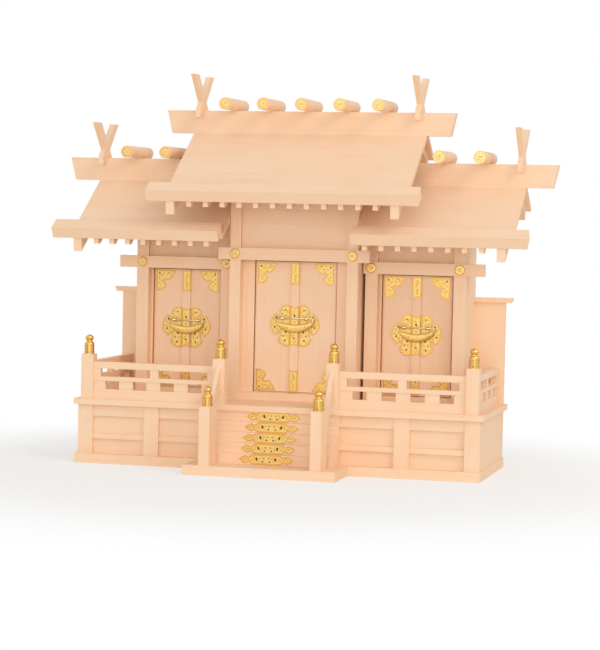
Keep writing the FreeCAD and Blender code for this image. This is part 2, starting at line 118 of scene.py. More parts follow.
# an even sky lights the altar; what the camera and the metal see of it is plain white
def addStudio():
    world = bpy.data.worlds.new("studio")
    bpy.context.scene.world = world
    world.use_nodes = True
    tree = world.node_tree
    tree.nodes.clear()
    path = addNode(tree, "ShaderNodeLightPath")
    direct = addNode(tree, "ShaderNodeMath", {"operation": "MAXIMUM"},
                     {0: path.outputs["Is Camera Ray"], 1: path.outputs["Is Glossy Ray"]})
    seen = addNode(tree, "ShaderNodeMath", {"operation": "MAXIMUM"},
                   {0: direct.outputs[0], 1: path.outputs["Is Transmission Ray"]})
    light = addNode(tree, "ShaderNodeBackground",
                    inputs={"Color": (1, 1, 1, 1), "Strength": studio["worldStrength"]})
    white = addNode(tree, "ShaderNodeBackground", inputs={"Color": (1, 1, 1, 1), "Strength": 1.0})
    mix = addNode(tree, "ShaderNodeMixShader",
                  inputs={0: seen.outputs[0], 1: light.outputs[0], 2: white.outputs[0]})
    addNode(tree, "ShaderNodeOutputWorld", inputs={"Surface": mix.outputs[0]})
    for lamp in studio["lamps"]:
        addLamp(*lamp)
    bpy.context.scene.view_settings.view_transform = "Standard"


# matt paper floor: it holds the soft shadow near the altar, and fades into the white behind it
def addFloor():
    material, tree = newMaterial("paleStudioPaper")
    near, far = studio["fade"]
    least, most = studio["fadeShare"]
    matt = addNode(tree, "ShaderNodeBsdfDiffuse", inputs={"Color": hexToLinear(studio["floorHex"])})
    white = addNode(tree, "ShaderNodeEmission", inputs={"Color": (1, 1, 1, 1), "Strength": 1.0})
    path = addNode(tree, "ShaderNodeLightPath")
    place = addNode(tree, "ShaderNodeTexCoord")
    reach = addNode(tree, "ShaderNodeVectorMath", {"operation": "LENGTH"}, {0: place.outputs["Object"]})
    fade = addNode(tree, "ShaderNodeMapRange", {"interpolation_type": "SMOOTHSTEP"}, {
        "Value": reach.outputs["Value"], "From Min": near, "From Max": far, "To Min": least, "To Max": most})
    share = addNode(tree, "ShaderNodeMath", {"operation": "MULTIPLY"},
                    {0: fade.outputs[0], 1: path.outputs["Is Camera Ray"]})
    mix = addNode(tree, "ShaderNodeMixShader",
                  inputs={0: share.outputs[0], 1: matt.outputs[0], 2: white.outputs[0]})
    addNode(tree, "ShaderNodeOutputMaterial", inputs={"Surface": mix.outputs[0]})
    half = studio["floorHalf"]
    corners = [(-half, -half, 0), (half, -half, 0), (half, half, 0), (-half, half, 0)]
    mesh = bpy.data.meshes.new("floor")
    mesh.from_pydata(corners, [], [(0, 1, 2, 3)])
    mesh.materials.append(material)
    obj = bpy.data.objects.new("floor", mesh)
    bpy.context.scene.collection.objects.link(obj)


addStudio()
addFloor()
print("studio lit")


# planed hinoki cypress, unvarnished: pale straw pink and silky, with close faint straight grain
hinoki = {
    "paleHex": "#F8D6B4",
    "warmHex": "#F7D2AE",
    "ringHex": "#F5CAA4",
    "ringSpacing": 1.6,       # mm across the growth rings
    "streakLength": 120,      # mm along the grain
    "cloudSize": 45,          # mm, slow change of tone in one board
    "ringEdges": (0.5, 0.8),  # noise values between which a growth ring darkens
    "cloudEdges": (0.35, 0.65),
    "roughness": (0.47, 0.65),
    "fibre": 0.00025,         # m, height of the planed fibres, coarse enough to show
    "relief": 0.18,
    "ior": 1.45,
    "specular": 0.3,
}


def makeHinoki(name, along, shift):
    material, tree = newMaterial(name)
    place = addNode(tree, "ShaderNodeTexCoord")
    ringFrom, ringTo = hinoki["ringEdges"]
    cloudFrom, cloudTo = hinoki["cloudEdges"]
    silky, dull = hinoki["roughness"]
    scale = [1000 / hinoki["ringSpacing"] / 2] * 3
    scale["XYZ".index(along)] = 1000 / hinoki["streakLength"]
    spread = addNode(tree, "ShaderNodeMapping", inputs={
        "Vector": place.outputs["Object"], "Location": (shift, shift * 1.7, shift * 0.6),
        "Scale": tuple(scale)})
    grain = addNode(tree, "ShaderNodeTexNoise", inputs={
        "Vector": spread.outputs[0], "Scale": 1.0, "Detail": 4.0, "Roughness": 0.6, "Distortion": 0.3})
    line = addNode(tree, "ShaderNodeMapRange", {"interpolation_type": "SMOOTHSTEP"}, {
        "Value": grain.outputs[0], "From Min": ringFrom, "From Max": ringTo})
    cloud = addNode(tree, "ShaderNodeTexNoise", inputs={
        "Vector": place.outputs["Object"], "Scale": 1000 / hinoki["cloudSize"], "Detail": 2.0})
    tone = addNode(tree, "ShaderNodeMapRange", inputs={
        "Value": cloud.outputs[0], "From Min": cloudFrom, "From Max": cloudTo})
    ground = addNode(tree, "ShaderNodeMix", {"data_type": "RGBA"}, {
        0: tone.outputs[0], 6: hexToLinear(hinoki["paleHex"]), 7: hexToLinear(hinoki["warmHex"])})
    tint = addNode(tree, "ShaderNodeMix", {"data_type": "RGBA"}, {
        0: line.outputs[0], 6: ground.outputs[2], 7: hexToLinear(hinoki["ringHex"])})
    gloss = addNode(tree, "ShaderNodeMapRange", inputs={
        "Value": grain.outputs[0], "To Min": silky, "To Max": dull})
    relief = addNode(tree, "ShaderNodeBump", inputs={
        "Height": grain.outputs[0], "Strength": hinoki["relief"], "Distance": hinoki["fibre"]})
    shader = addNode(tree, "ShaderNodeBsdfPrincipled", inputs={
        "Base Color": tint.outputs[2], "Roughness": gloss.outputs[0], "Normal": relief.outputs[0],
        "IOR": hinoki["ior"], "Specular IOR Level": hinoki["specular"]})
    addNode(tree, "ShaderNodeOutputMaterial", inputs={"Surface": shader.outputs[0]})
    return material


# stamped brass sheet, gilt: pale yellow where it is stippled with a fine punch, deeper on the smooth rims
brass = {
    "fieldHex": "#EBCC80",
    # painted shade: the colour at the bottom of each punch pit
    "pitShadeHex": "#C2933C",
    "rimHex": "#D99E42",
    "sheenHex": "#E0AE55",
    "turnedHex": "#EBC478",
    # burnished brass painted near white: partly real burnish, partly a painted highlight
    "burnishedHex": "#E8D49C",
    "paintedHighlightHex": "#F0E2BC",
    "fieldRoughness": 0.5,
    "smoothRoughness": (0.28, 0.48),
    "wearSize": 2.5,          # mm, patches where handling has dulled the smooth brass
    "stipple": 0.8,           # mm between punch marks, coarser than the real ones so that they show
    "pitEdges": (0.05, 0.45),  # from the bottom of a pit to its lip, in spacings
    "pitDepth": 0.0002,       # m
    "pitRelief": 0.4,
}


# fine scattered pits break up the reflection, so that the field looks pale and grainy; the bottom of each pit
# is painted darker, as painted shade
def makeStippled(name):
    material, tree = newMaterial(name)
    bottom, lip = brass["pitEdges"]
    place = addNode(tree, "ShaderNodeTexCoord")
    dots = addNode(tree, "ShaderNodeTexVoronoi", {"feature": "F1"}, {
        "Vector": place.outputs["Object"], "Scale": 1000 / brass["stipple"]})
    pit = addNode(tree, "ShaderNodeMapRange", inputs={
        "Value": dots.outputs["Distance"], "From Min": bottom, "From Max": lip})
    tint = addNode(tree, "ShaderNodeMix", {"data_type": "RGBA"}, {
        0: pit.outputs[0], 6: hexToLinear(brass["pitShadeHex"]), 7: hexToLinear(brass["fieldHex"])})
    relief = addNode(tree, "ShaderNodeBump", inputs={
        "Height": pit.outputs[0], "Strength": brass["pitRelief"], "Distance": brass["pitDepth"]})
    shader = addNode(tree, "ShaderNodeBsdfPrincipled", inputs={
        "Base Color": tint.outputs[2], "Metallic": 1.0, "Roughness": brass["fieldRoughness"],
        "Normal": relief.outputs[0]})
    addNode(tree, "ShaderNodeOutputMaterial", inputs={"Surface": shader.outputs[0]})
    return material


# smooth gilt brass of rims, curls and turned caps, and the near-white burnished brass of flowers and bolt,
# whose paleness is partly a painted highlight: handling leaves it unevenly bright
def makeSmoothBrass(name, deepHex, paleHex):
    material, tree = newMaterial(name)
    bright, dull = brass["smoothRoughness"]
    place = addNode(tree, "ShaderNodeTexCoord")
    wear = addNode(tree, "ShaderNodeTexNoise", inputs={
        "Vector": place.outputs["Object"], "Scale": 1000 / brass["wearSize"], "Detail": 3.0})
    rough = addNode(tree, "ShaderNodeMapRange", inputs={
        "Value": wear.outputs[0], "To Min": bright, "To Max": dull})
    tint = addNode(tree, "ShaderNodeMix", {"data_type": "RGBA"}, {
        0: wear.outputs[0], 6: hexToLinear(deepHex), 7: hexToLinear(paleHex)})
    shader = addNode(tree, "ShaderNodeBsdfPrincipled", inputs={
        "Base Color": tint.outputs[2], "Metallic": 1.0, "Roughness": rough.outputs[0]})
    addNode(tree, "ShaderNodeOutputMaterial", inputs={"Surface": shader.outputs[0]})
    return material


# the punched marks are filled with black lacquer: matt, almost black, a little brown with dust
lacquer = {
    "blackHex": "#2E2A20",
    "dustHex": "#5A4C2C",
    "dustScale": 900.0,       # specks to the metre
    "roughness": 0.6,
}


def makeLacquer(name):
    material, tree = newMaterial(name)
    place = addNode(tree, "ShaderNodeTexCoord")
    dust = addNode(tree, "ShaderNodeTexNoise", inputs={
        "Vector": place.outputs["Object"], "Scale": lacquer["dustScale"], "Detail": 2.0})
    tint = addNode(tree, "ShaderNodeMix", {"data_type": "RGBA"}, {
        0: dust.outputs[0], 6: hexToLinear(lacquer["blackHex"]), 7: hexToLinear(lacquer["dustHex"])})
    shader = addNode(tree, "ShaderNodeBsdfPrincipled", inputs={
        "Base Color": tint.outputs[2], "Roughness": lacquer["roughness"]})
    addNode(tree, "ShaderNodeOutputMaterial", inputs={"Surface": shader.outputs[0]})
    return material


stippledBrass = makeStippled("stippledGiltBrass")
smoothBrass = makeSmoothBrass("smoothGiltBrass", brass["rimHex"], brass["sheenHex"])
# near-white brass, partly burnished and partly a painted highlight
burnishedAndHighlightBrass = makeSmoothBrass("burnishedGiltBrassPaintedHighlight", brass["burnishedHex"], brass["paintedHighlightHex"])
turnedBrass = makeSmoothBrass("turnedGiltBrass", brass["sheenHex"], brass["turnedHex"])
blackLacquer = makeLacquer("blackLacquerFill")
woods = {axis: makeHinoki("planedHinokiGrain" + axis, axis, 0.13 * i) for i, axis in enumerate("XYZ")}

grainWords = {
    "Y": ("ridge_logs", "side_railings", "rafters", "bargeboards", "handrails"),
    "Z": ("_posts", "cabinet", "door", "screens", "newels", "crosses"),
}


# the grain runs along the longest edge of a board or post
def grainOf(node):
    for axis, words in grainWords.items():
        if any(word in node for word in words):
            return axis
    return "X"


def finishNodes():
    metals = {"finials": turnedBrass, "lintel_bosses": turnedBrass, "ridge_log_caps": turnedBrass}
    for name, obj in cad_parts.items():
        obj.data.materials.clear()
        obj.data.materials.append(metals.get(name) or woods[grainOf(name)])


finishNodes()
print("wood and brass on", len(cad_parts), "nodes")


# a closed mesh with its faces outwards, riding on a body of the altar
def addPiece(name, bm, body, materials):
    bmesh.ops.recalc_face_normals(bm, faces=bm.faces)
    mesh = bpy.data.meshes.new(name)
    bm.to_mesh(mesh)
    bm.free()
    for material in materials:
        mesh.materials.append(material)
    obj = bpy.data.objects.new(name, mesh)
    bpy.context.scene.collection.objects.link(obj)
    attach(obj, body)
    return obj


# sheet fittings, all facing the front: sizes in mm, outlines as (across, up) from the fitting's middle
sheet = {
    "thick": 0.55,
    "rim": 1.0,               # width of the raised rim
    "step": 0.12,             # width of the slope from rim to field
    "sink": 0.2,              # depth of the field under the rim
    "mark": 0.12,             # height of a punch mark's filling over the field
    "markSides": 10,
    "markBend": 0.35,         # how far a mark bulges to one side, as a share of its half width
    "sharpest": 0.55,         # keeps the rim from running out at sharp corners
}


# the outline moved inwards by gap, along the bisector of each corner
def shrunk(outline, gap):
    points = [Vector(point) for point in outline]
    count = len(points)
    area = sum(points[i - 1].cross(points[i]) for i in range(count))
    side = 1 if area > 0 else -1
    result = []
    for i, point in enumerate(points):
        before = (point - points[i - 1]).normalized()
        after = (points[(i + 1) % count] - point).normalized()
        normal = Vector((-before.y - after.y, before.x + after.x)) * side
        normal.normalize()
        reach = normal.dot(Vector((-after.y, after.x)) * side)
        result.append(point + normal * gap / max(reach, sheet["sharpest"]))
    return result


# a plate with a smooth raised rim round a sunk field; without a rim it is a plain flat tablet
def addSheet(bm, outline, place, thick, rim):
    x0, y0, z0 = place
    layers = [(outline, 0.0), (outline, thick)]
    if rim:
        layers.append((shrunk(outline, rim), thick))
        layers.append((shrunk(outline, rim + sheet["step"]), thick - sheet["sink"]))
    loops = [[bm.verts.new(((x0 + x) * mm, (y0 - out) * mm, (z0 + z) * mm)) for x, z in points]
             for points, out in layers]
    count = len(outline)
    bm.faces.new(loops[0])
    for one, two in zip(loops, loops[1:]):
        for i in range(count):
            j = (i + 1) % count
            bm.faces.new((one[j], one[i], two[i], two[j]))
    field = bm.faces.new(list(reversed(loops[-1])))
    field.material_index = 1 if rim else 0


# a small flat tablet of lacquer
def addMark(bm, outline, place, thick):
    before = set(bm.faces)
    addSheet(bm, outline, place, thick, 0)
    for face in set(bm.faces) - before:
        face.material_index = 2


# a punch mark: an ellipse of half sizes wide and high, a little bent, turned by degrees
def punchMark(x, z, wide, high, turn):
    points = []
    for i in range(sheet["markSides"]):
        a = 2 * math.pi * i / sheet["markSides"]
        points.append((wide * (math.cos(a) + sheet["markBend"] * math.sin(a) ** 2), high * math.sin(a)))
    c, s = math.cos(math.radians(turn)), math.sin(math.radians(turn))
    return [(x + px * c - pz * s, z + px * s + pz * c) for px, pz in points]


# marks are (across, up, half width, half height, degrees), curls are (across, up)
doorFittings = {
    # for the upper corner of the left leaf, from the corner: inwards and downwards
    "corner": ((0, 0), (21.8, -0.4), (19, -5.9), (15.5, -10.6), (11.8, -11.2), (9.8, -9.8), (7.9, -12.6),
               (11.2, -16.4), (9.8, -20), (5.2, -22.8), (0, -23.5)),
    "cornerMarks": ((3.4, -3.8, 0.7, 1.4, 20), (8.2, -2.7, 0.45, 0.45, 0), (13.6, -2.8, 1.0, 0.4, 0),
                    (3.0, -9.6, 0.45, 0.65, 0), (3.3, -14.2, 0.65, 0.5, 0), (4.6, -18.8, 0.4, 0.4, 0)),
    "cornerCurls": ((6.6, -6.6), (11.6, -5.8), (5.9, -12.0), (5.6, -16.4), (15.6, -4.4)),
    "stripHalf": 4.6,        # half width of the meeting strip's plates
    "stripLong": 24.0,       # length of its end plates
    "notch": 2.6,            # depth of the notch in their ends
    "stripMarks": ((0, 8.0, 0.5, 0.4, 0), (-0.8, 3.6, 0.8, 0.35, 20), (0.6, -2.0, 0.9, 0.6, -20),
                   (0, -6.4, 0.5, 0.5, 0)),
    "stripCurls": ((0.9, 5.6), (-0.9, 0.8), (0.2, -4.2)),
    # left half of the rosette, from the rosette's middle
    "half": ((-5.6, 22.0), (-10.7, 23.1), (-14.9, 21.0), (-16.9, 18.3), (-17.3, 15.6), (-14.9, 13.5),
             (-16.7, 11.4), (-22.0, 13.5), (-25.2, 10.3), (-27.4, 5.0), (-28.2, 0.2), (-26.2, -3.7),
             (-21.6, -9.9), (-19.0, -6.9), (-16.1, -5.8), (-16.3, -11.0), (-19.0, -14.1), (-16.9, -18.4),
             (-11.3, -22.2), (-5.6, -21.2)),
    "halfMarks": ((-10.5, 17.6, 1.2, 0.7, 0), (-9.7, 11.8, 0.6, 0.6, 0), (-21.0, 9.9, 1.3, 0.8, 45),
                  (-22.6, -1.3, 0.8, 1.4, -30), (-10.1, -6.4, 1.5, 0.8, -30), (-13.2, -10.8, 0.6, 1.2, 15),
                  (-10.9, -15.9, 1.0, 1.1, 0)),
    "halfCurls": ((-13.4, 17.2), (-8.0, 15.6), (-12.4, 12.4), (-17.6, 9.4), (-23.0, 6.4), (-24.6, 1.8),
                  (-19.4, -4.2), (-15.0, -3.2), (-9.0, -10.6), (-12.8, -18.0), (-15.6, -15.4)),
    "stripTall": 22.4,       # half length of its middle plate
    "centreMarks": ((0, 11.8, 1.0, 1.5, 40), (0, 4.6, 0.9, 0.6, 0), (0, -9.2, 0.5, 0.35, 0),
                    (0, -13.2, 1.1, 0.9, 0)),
    "centreCurls": ((-1.2, 15.2), (1.2, 8.4), (-1.4, -10.6), (1.0, -16.4)),
    "flat": 0.3,             # mm kept free at the rounded hinge edge
    "rosetteDeep": 1.6,      # thickness of the rosette, in sheets
}

# middle, door face, half width to the hinge line, top and bottom of the plates, height of the rosette,
# half length of the lock's crescent, which has to clear the posts when the leaf is open
wingBay = {"face": 103.0, "half": 36.2, "top": 209.4, "low": 80.2, "rosette": 145.2, "reach": 19.4}
bays = {
    "main": {"x": 0.0, "face": 79.0, "half": 43.1, "top": 221.6, "low": 80.6, "rosette": 152.3,
             "reach": 21.0},
    "left": {"x": -131.6, **wingBay},
    "right": {"x": 131.6, **wingBay},
}
stripRise = 2.4              # mm from the leaf's face to the front of its meeting strip


# the curls of each body are gathered here and grown once its plates are done
curlSpots = {}


def addCurls(body, curls, place, thick, turn):
    spots = curlSpots.setdefault(body, [])
    for x, z in curls:
        across, up = turn(x, z)
        spots.append(((place[0] + across) * mm, (place[1] - thick) * mm, (place[2] + up) * mm))


def plain(x, z):
    return (x, z)


def addMarks(bm, marks, place, thick, turn):
    for mark in marks:
        outline = [turn(x, z) for x, z in punchMark(*mark)]
        addMark(bm, outline, place, thick)


# plates of one leaf: side -1 is the left leaf, side 1 its mirror image
def addLeafFittings(bay, side):
    spec = bays[bay]
    body = bay + ("_door_left" if side < 0 else "_door_right")
    fit = doorFittings
    thick = sheet["thick"]
    field = thick - sheet["sink"]
    bm = bmesh.new()
    edge = spec["x"] + side * (spec["half"] - fit["flat"])
    for z, up in ((spec["top"], 1), (spec["low"], -1)):
        def turn(x, z, up=up):
            return (-side * x, up * z)
        place = (edge, spec["face"], z)
        addSheet(bm, [turn(*point) for point in fit["corner"]], place, thick, sheet["rim"])
        addMarks(bm, fit["cornerMarks"], place, field + sheet["mark"], turn)
        addCurls(body, fit["cornerCurls"], place, field, turn)

    def across(x, z):
        return (-side * x, z)
    middle = (spec["x"], spec["face"], spec["rosette"])
    deep = thick * fit["rosetteDeep"]
    addSheet(bm, [across(*point) for point in fit["half"]], middle, deep, sheet["rim"])
    addMarks(bm, fit["halfMarks"], middle, deep - sheet["sink"] + sheet["mark"], across)
    addCurls(body, fit["halfCurls"], middle, deep - sheet["sink"], across)
    if side < 0:
        addStripPlates(bm, spec, body)
    name = bay + ("LeftFittings" if side < 0 else "RightFittings")
    addPiece(name, bm, body, [smoothBrass, stippledBrass, blackLacquer])


# three plates on the meeting strip, which the left leaf carries
def addStripPlates(bm, spec, body):
    fit = doorFittings
    thick, field = sheet["thick"], sheet["thick"] - sheet["sink"]
    wide, long, notch = fit["stripHalf"], fit["stripLong"], fit["notch"]
    front = spec["face"] - stripRise
    half = long / 2
    plate = [(-wide, half), (-wide, -half), (0, notch - half), (wide, -half), (wide, half)]
    for z, up in ((spec["top"], 1), (spec["low"], -1)):
        def turn(x, z, up=up):
            return (x, up * z)
        place = (spec["x"], front, z - up * half)
        addSheet(bm, [turn(*point) for point in plate], place, thick, sheet["rim"])
        addMarks(bm, fit["stripMarks"], place, field + sheet["mark"], turn)
        addCurls(body, fit["stripCurls"], place, field, turn)

    tall = fit["stripTall"]
    centre = [(-wide, tall), (-wide, -tall), (0, notch - tall),
              (wide, -tall), (wide, tall), (0, tall - notch)]
    middle = (spec["x"], front, spec["rosette"])
    addSheet(bm, centre, middle, thick, sheet["rim"])
    addMarks(bm, fit["centreMarks"], middle, field + sheet["mark"], plain)
    addCurls(body, fit["centreCurls"], middle, field, plain)


for bay in bays:
    for side in (-1, 1):
        addLeafFittings(bay, side)
print("door plates made")


# the padlock lies across the rosette: a straight bolt above a fat crescent body, pointed at the left,
# collared and blunt at the right, where the end of the bolt turns down into it
lock = {
    "rise": 6.6,             # how far its ends turn up
    "drop": -2.6,            # middle of the crescent below the rosette's middle
    "fat": 4.5,              # half height at the middle
    "tip": 0.7,              # half height at the left end
    "blunt": 2.3,            # half height at the right end
    "deep": 1.4,             # half depth at the middle
    "endDeep": 0.8,          # depth of the ends, as a share of their height
    "bow": 2.3,              # the higher, the longer the crescent stays fat
    "collars": (0.68, 0.8),  # rings round the right end, as shares of the half length
    "collarHigh": 0.6,
    "collarWide": 0.03,
    "curls": (-11.5, -7.2, -2.6, 2.4, 7.0, 11.2),
    "boltHigh": 8.7,
    "boltR": 0.8,
    "boltEnds": (0.8, 2.0),  # the bolt beyond the crescent, left and right
    "staple": 13.6,          # middle of a barrel staple from the lock's middle
    "stapleR": 2.1,
    "stapleLong": 3.2,       # half length
    "stapleSections": 9,
    "posts": (0.6, 1.1),     # radius of the bolt's upright ends, left and right
    "postFoot": 0.2,         # how far inside the crescent's end an upright starts
    "postHeads": (0.0, 0.8),  # how far outside it the upright ends, left and right
    "postOver": 0.6,         # its end above the bolt
    "postSections": 4,
    "proud": 4.6,            # from the door's face to the middle of the lock
    "sections": 72,
    "ring": 18,              # corners round the crescent
    "rodRing": 10,
    "stapleRing": 12,
}


# a closed skin over sections, each one its centre and two half axes
def addTube(bm, sections, ring):
    loops = []
    for centre, across, up in sections:
        loop = []
        for i in range(ring):
            a = 2 * math.pi * i / ring
            loop.append(bm.verts.new(centre + across * math.cos(a) + up * math.sin(a)))
        loops.append(loop)
    for one, two in zip(loops, loops[1:]):
        for i in range(ring):
            j = (i + 1) % ring
            bm.faces.new((one[i], one[j], two[j], two[i]))
    bm.faces.new(list(reversed(loops[0])))
    bm.faces.new(loops[-1])


# from the pointed left end to the collared right one, on a shallow parabola
def crescentSections(middle, reach):
    sections = []
    count, flat = lock["sections"], lock["endDeep"]
    for i in range(count + 1):
        t = -1 + 2 * i / count
        end = lock["tip"] if t < 0 else lock["blunt"]
        bow = 1 - abs(t) ** lock["bow"]
        swell = sum(math.exp(-((t - ring) / lock["collarWide"]) ** 2) for ring in lock["collars"])
        swell *= lock["collarHigh"]
        high = end + (lock["fat"] - end) * bow + swell
        deep = end * flat + (lock["deep"] - end * flat) * bow + swell * flat
        centre = Vector((t * reach, 0, lock["drop"] + lock["rise"] * t * t)) + middle
        slope = math.atan2(2 * lock["rise"] * t, reach)
        up = Vector((-math.sin(slope), 0, math.cos(slope))) * high
        sections.append((centre * mm, Vector((0, deep, 0)) * mm, up * mm))
    return sections


# a round rod from x0 to x1, its radius given at each share of its length
def rodSections(middle, x0, x1, z, radii):
    sections = []
    for i, radius in enumerate(radii):
        centre = middle + Vector((x0 + (x1 - x0) * i / (len(radii) - 1), 0, z))
        sections.append((centre * mm, Vector((0, radius, 0)) * mm, Vector((0, 0, radius)) * mm))
    return sections


# one padlock: a stippled crescent, with a burnished bolt in two barrel staples; bolt, staples and uprights
# are painted near white, partly as a painted highlight
def addLock(bay):
    spec = bays[bay]
    middle = Vector((spec["x"], spec["face"] - lock["proud"], spec["rosette"]))
    reach, high = spec["reach"], lock["boltHigh"]
    body = bay + "_door_left"
    bm = bmesh.new()
    addTube(bm, crescentSections(middle, reach), lock["ring"])
    for x in lock["curls"]:
        z = lock["drop"] + lock["rise"] * (x / reach) ** 2
        addCurls(body, [(x, z)], middle, lock["deep"] * (1 - abs(x / reach) ** 3), plain)
    left, right = lock["boltEnds"]
    crescent = set(bm.faces)
    bolt = rodSections(middle, -reach - left, reach + right, high, [lock["boltR"]] * 3)
    addTube(bm, bolt, lock["rodRing"])
    count, parts = lock["stapleSections"], lock["postSections"]
    barrel = [lock["stapleR"] * math.sin(math.pi * (i + 0.4) / (count - 0.2)) for i in range(count)]
    for side in (-1, 1):
        x, long = side * lock["staple"], lock["stapleLong"]
        addTube(bm, rodSections(middle, x - long, x + long, high, barrel), lock["stapleRing"])
        out, stout = lock["postHeads"][side > 0], lock["posts"][side > 0]
        foot = middle + Vector((side * (reach - lock["postFoot"]), 0, lock["drop"] + lock["rise"]))
        head = middle + Vector((side * (reach + out), 0, high + lock["postOver"]))
        deep, wide = Vector((0, stout, 0)) * mm, Vector((-side * stout, 0, 0)) * mm
        post = [(foot.lerp(head, i / parts) * mm, deep, wide) for i in range(parts + 1)]
        addTube(bm, post, lock["rodRing"])
    for face in set(bm.faces) - crescent:
        face.material_index = 1
    # bolt, staples and uprights take the near-white brass, a painted highlight
    piece = addPiece(bay + "Lock", bm, body, [stippledBrass, burnishedAndHighlightBrass])
    for polygon in piece.data.polygons:
        polygon.use_smooth = True


for bay in bays:
    addLock(bay)
print("padlocks made")


# one lobed plaque on each riser of the stairs
plaques = {
    "half": ((0, 5.2), (14.8, 5.2), (17.2, 3.8), (18.4, 2.3), (19.8, 2.7), (21.8, 4.0), (24.4, 3.6),
             (27.0, 1.7), (29.5, 0)),
    "count": 5,
    "topY": -1.0,            # face of the highest riser
    "run": 7.2,              # depth of a tread
    "lowZ": 10.5,            # foot of the lowest riser
    "rise": 10.64,           # height of a riser
    "thick": 0.6,
    "x": -0.8,               # mm, set a little left of the middle
    "marks": ((-10.4, 0.5, 1.15, 2.0, 20), (-3.9, -2.0, 0.95, 0.85, 0), (-2.8, 1.5, 1.2, 0.45, -10),
              (-7.2, -1.8, 0.4, 0.35, 0), (-13.8, -0.7, 0.45, 0.4, 0), (-19.6, 0, 0.7, 0.3, 0),
              (-23.9, 0, 0.8, 0.4, 0)),
    "curls": ((-6.9, 1.0), (-13.6, 1.9), (-16.0, -0.4), (-21.8, 1.0)),
}


def plaqueOutline():
    upper = list(plaques["half"])
    right = upper + [(x, -z) for x, z in reversed(upper[:-1])]
    left = [(-x, z) for x, z in reversed(right[1:-1])]
    return right + left


def addPlaques():
    bm = bmesh.new()
    thick = plaques["thick"]
    field = thick - sheet["sink"]
    for step in range(plaques["count"]):
        y = plaques["topY"] - plaques["run"] * (plaques["count"] - 1 - step)
        middle = (plaques["x"], y, plaques["lowZ"] + plaques["rise"] * (step + 0.5))
        addSheet(bm, plaqueOutline(), middle, thick, sheet["rim"])
        for side in (-1, 1):
            def turn(x, z, side=side):
                return (-side * x, z)
            addMarks(bm, plaques["marks"], middle, field + sheet["mark"], turn)
            addCurls("shrine", plaques["curls"], middle, field, turn)
    addPiece("riserPlaques", bm, "shrine", [smoothBrass, stippledBrass, blackLacquer])


addPlaques()
print("riser plaques made")


# stamped flowers on the lintel bosses and the ends of the ridge logs, in mm, one tree for both
flowers = {
    "petals": 8,
    "bossR": 5.3,
    "capR": 6.0,
    "share": 0.94,           # of the disc that the flower takes up
    "facets": (10, 6),       # round a petal and along it
    "bosses": ((66.2, 63.4, 230.8), (82.4, 87.4, 218.6), (180.5, 87.4, 218.6)),  # and their mirror images
    "mainLogs": (43.3, 396.0),            # spacing of the five logs, their height
    "wingLogs": ((155.0, 200.0), 341.0),
    "logEnds": (84.5, 161.5),             # front and rear faces of the caps
    # parts of a flower as shares of the disc's radius
    "parts": {"offset": 0.42, "long": 0.26, "wide": 0.15, "high": 0.1, "heart": 0.13},
}


def petalTree():
    tree = bpy.data.node_groups.new("stampedFlower", "GeometryNodeTree")
    sockets = (("Geometry", "NodeSocketGeometry", None), ("Petal Count", "NodeSocketInt", 8),
               ("Disc Radius", "NodeSocketFloat", 0.005), ("Material", "NodeSocketMaterial", None))
    for name, kind, value in sockets:
        item = tree.interface.new_socket(name=name, in_out="INPUT", socket_type=kind)
        if value is not None:
            item.default_value = value
    tree.interface.new_socket(name="Geometry", in_out="OUTPUT", socket_type="NodeSocketGeometry")
    given = addNode(tree, "NodeGroupInput")
    radius = given.outputs["Disc Radius"]
    part = {}
    for name, share in flowers["parts"].items():
        times = addNode(tree, "ShaderNodeMath", {"operation": "MULTIPLY"}, {0: radius, 1: share})
        part[name] = times.outputs[0]
    around, lengthwise = flowers["facets"]
    ball = addNode(tree, "GeometryNodeMeshUVSphere",
                   inputs={"Segments": around, "Rings": lengthwise, "Radius": 1.0})
    petalSize = addNode(tree, "ShaderNodeCombineXYZ",
                        inputs={"X": part["long"], "Y": part["wide"], "Z": part["high"]})
    petal = addNode(tree, "GeometryNodeTransform",
                    inputs={"Geometry": ball.outputs[0], "Scale": petalSize.outputs[0]})
    circle = addNode(tree, "GeometryNodeMeshCircle",
                     inputs={"Vertices": given.outputs["Petal Count"], "Radius": part["offset"]})
    where = addNode(tree, "GeometryNodeInputPosition")
    turn = addNode(tree, "FunctionNodeAlignEulerToVector", {"axis": "X"}, {"Vector": where.outputs[0]})
    ring = addNode(tree, "GeometryNodeInstanceOnPoints", inputs={
        "Points": circle.outputs[0], "Instance": petal.outputs[0], "Rotation": turn.outputs[0]})
    heartSize = addNode(tree, "ShaderNodeCombineXYZ",
                        inputs={"X": part["heart"], "Y": part["heart"], "Z": part["high"]})
    heart = addNode(tree, "GeometryNodeTransform",
                    inputs={"Geometry": ball.outputs[0], "Scale": heartSize.outputs[0]})
    whole = addNode(tree, "GeometryNodeJoinGeometry",
                    inputs={"Geometry": [ring.outputs[0], heart.outputs[0]]})
    upright = addNode(tree, "GeometryNodeTransform",
                      inputs={"Geometry": whole.outputs[0], "Rotation": (math.pi / 2, 0, 0)})
    spots = addNode(tree, "GeometryNodeInstanceOnPoints", inputs={
        "Points": given.outputs["Geometry"], "Instance": upright.outputs[0]})
    real = addNode(tree, "GeometryNodeRealizeInstances", inputs={0: spots.outputs[0]})
    painted = addNode(tree, "GeometryNodeSetMaterial",
                      inputs={"Geometry": real.outputs[0], "Material": given.outputs["Material"]})
    addNode(tree, "NodeGroupOutput", inputs={0: painted.outputs[0]})
    return tree


